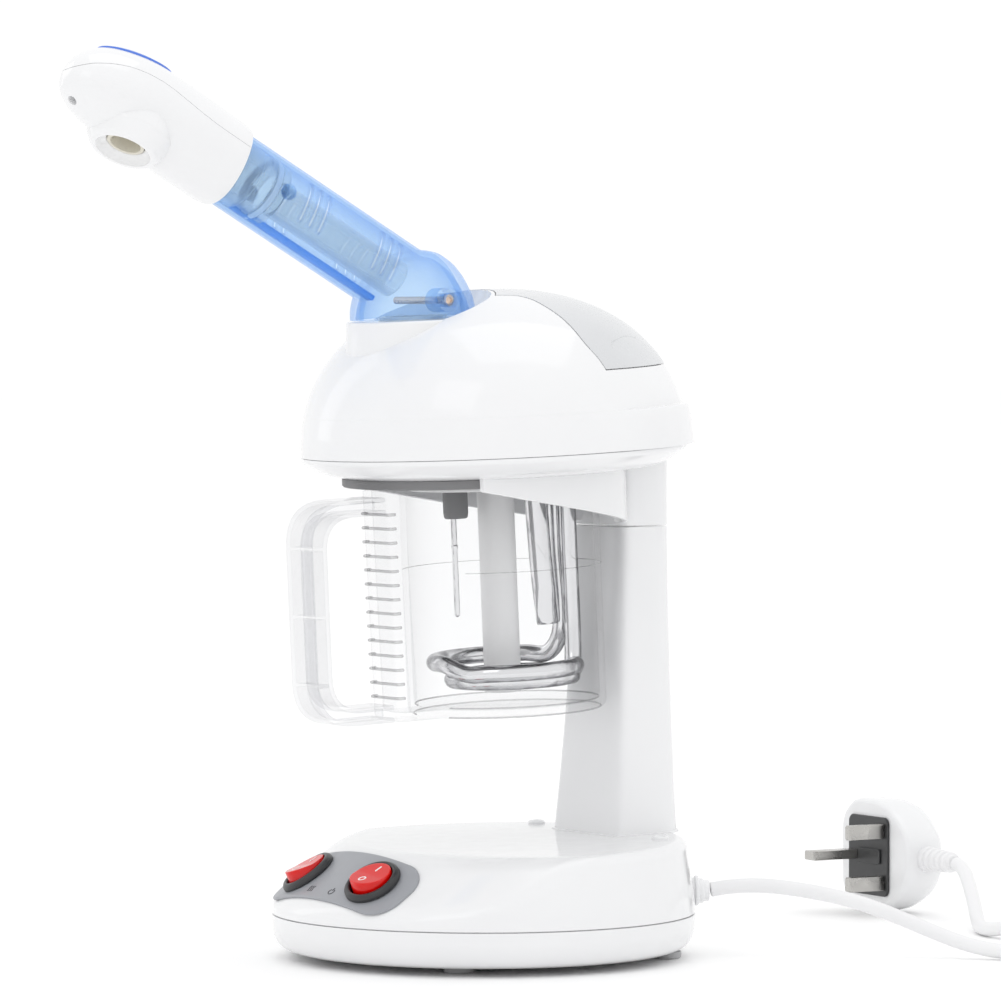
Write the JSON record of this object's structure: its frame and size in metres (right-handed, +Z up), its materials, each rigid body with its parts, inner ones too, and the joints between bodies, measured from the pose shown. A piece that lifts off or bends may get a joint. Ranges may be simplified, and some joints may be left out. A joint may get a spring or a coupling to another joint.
{
  "type": "facial steamer",
  "caption": "Table-top facial steamer with a round base, rocker switches, clear water jar under a domed head, and a swivelling arm with a turning nozzle.",
  "frame": {"origin": "middle of the footprint of everything but the cord and plug, on the table top under the feet", "axes": "+Z up, the front with the switches, jar handle and steam nozzle faces -Y, +X is on the viewer's right when the front is seen"},
  "size_m": [0.2508, 0.4623, 0.3606],
  "materials": {
    "white_plastic": "gloss white moulding",
    "pale_grey_plastic": "satin pale grey moulding",
    "grey_panel": "smooth mid grey printed panel",
    "dark_plastic": "fine satin, near black",
    "red_translucent_plastic": "glossy see-through red",
    "blue_translucent_plastic": "glossy see-through light blue",
    "clear_jar_plastic": "clear glossy polycarbonate",
    "dark_grey_rubber": "matt dark grey",
    "grey_rubber": "matt grey",
    "white_silicone": "matt off-white silicone",
    "stainless_steel": "polished stainless steel",
    "ballast_iron": "rough casting",
    "board_laminate": "green circuit board",
    "lamp_glass": "clear glass",
    "cream_plastic": "cream heat-proof sleeve",
    "brass_pins": "polished brass"
  },
  "bodies": {
    "stand": {"base_shell": "white_plastic", "base_tray": "white_plastic", "foot_1": "grey_rubber", "foot_2": "grey_rubber", "foot_3": "grey_rubber", "foot_4": "grey_rubber", "screw_cap_left": "pale_grey_plastic", "screw_cap_right": "pale_grey_plastic", "ballast_plate": "ballast_iron", "control_board": "board_laminate", "ozone_transformer": "dark_plastic", "terminal_block": "pale_grey_plastic", "control_panel": "grey_panel", "ozone_switch": "dark_plastic", "power_switch": "dark_plastic", "column_lower": "white_plastic", "head_dome": "white_plastic", "rear_panel": "pale_grey_plastic", "head_tray": "white_plastic", "gasket_plate": "dark_grey_rubber", "jar_cradle": "white_plastic", "heater_coil": "stainless_steel", "thermostat_well": "stainless_steel", "water_pipe": "white_silicone", "probe_boss": "dark_grey_rubber", "level_probe": "stainless_steel", "jar_seal": "white_silicone", "steam_duct": "white_silicone", "lamp_holder": "dark_grey_rubber", "ozone_lamp": "lamp_glass", "thermal_cutout": "dark_grey_rubber", "cord_gland": "white_plastic", "power_cord": "white_plastic", "plug_lead": "white_plastic", "cord_coil": "white_plastic", "plug_body": "white_plastic", "plug_face": "dark_plastic", "plug_pin_earth": "brass_pins", "plug_pin_live": "brass_pins", "plug_pin_neutral": "brass_pins", "plug_relief": "white_plastic"},
    "jar": {"jar_body": "clear_jar_plastic", "jar_handle": "clear_jar_plastic"},
    "turret": {"arm_half_left": "blue_translucent_plastic", "arm_half_right": "blue_translucent_plastic", "arm_screw": "stainless_steel", "turret_ring": "pale_grey_plastic", "steam_tube": "white_silicone"},
    "nozzle": {"nozzle_top_shell": "white_plastic", "nozzle_bottom_shell": "white_plastic", "nozzle_inlay": "blue_translucent_plastic", "spout_sleeve": "cream_plastic", "nozzle_neck": "clear_jar_plastic", "nozzle_seal": "white_silicone"},
    "power_button": {"power_rocker": "red_translucent_plastic"},
    "ozone_button": {"ozone_rocker": "red_translucent_plastic"}
  },
  "joints": [
    {"name": "power_rocker_tilt", "type": "hinge", "parent": "stand", "child": "power_button", "pos_m": [0.02424, -0.01332, 0.03493], "axis": [0.9852, 0.0983, -0.1404], "range_deg": [0, 24]},
    {"name": "ozone_rocker_tilt", "type": "hinge", "parent": "stand", "child": "ozone_button", "pos_m": [-0.02424, -0.01332, 0.03493], "axis": [0.9852, -0.0983, 0.1404], "range_deg": [0, 24]},
    {"name": "jar_drop", "type": "slide", "parent": "stand", "child": "jar", "axis": [0, -0.048, -0.9988], "range_m": [0, 0.03]},
    {"name": "turret_swivel", "type": "hinge", "parent": "stand", "child": "turret", "pos_m": [0, 0.02059, 0.25569], "axis": [0, -0.0488, 0.9988], "range_deg": [-90, 90]},
    {"name": "nozzle_twist", "type": "hinge", "parent": "turret", "child": "nozzle", "pos_m": [0, -0.06242, 0.31354], "axis": [0, -0.8704, 0.4924], "range_deg": [-180, 180]}
  ]
}
